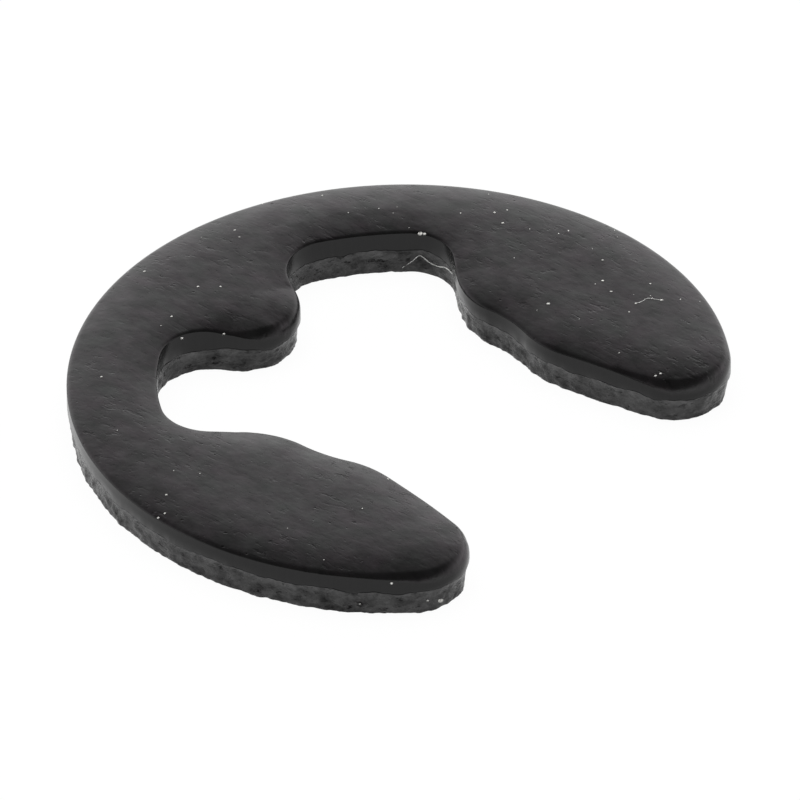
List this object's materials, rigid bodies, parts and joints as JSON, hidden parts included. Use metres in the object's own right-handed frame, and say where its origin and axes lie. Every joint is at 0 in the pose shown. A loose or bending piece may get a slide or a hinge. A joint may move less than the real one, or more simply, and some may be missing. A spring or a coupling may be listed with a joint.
{
  "type": "e clip",
  "caption": "Flat e-shaped retaining clip in dark spring steel, pushed sideways into a shaft groove, where its jaws and centre prong grip.",
  "frame": {"origin": "on the axis of the shaft groove, in the plane of the face that the clip lies on", "axes": "+Z along the shaft axis, towards the face with the rounded edge; the mouth opens towards -Y; +X across the two arms"},
  "size_m": [0.0072, 0.0063, 0.0006],
  "materials": {
    "spring_steel": "dark satin, fine rolling marks along the clip's line of symmetry"
  },
  "bodies": {
    "root": {"e_clip": "spring_steel"}
  },
  "joints": []
}
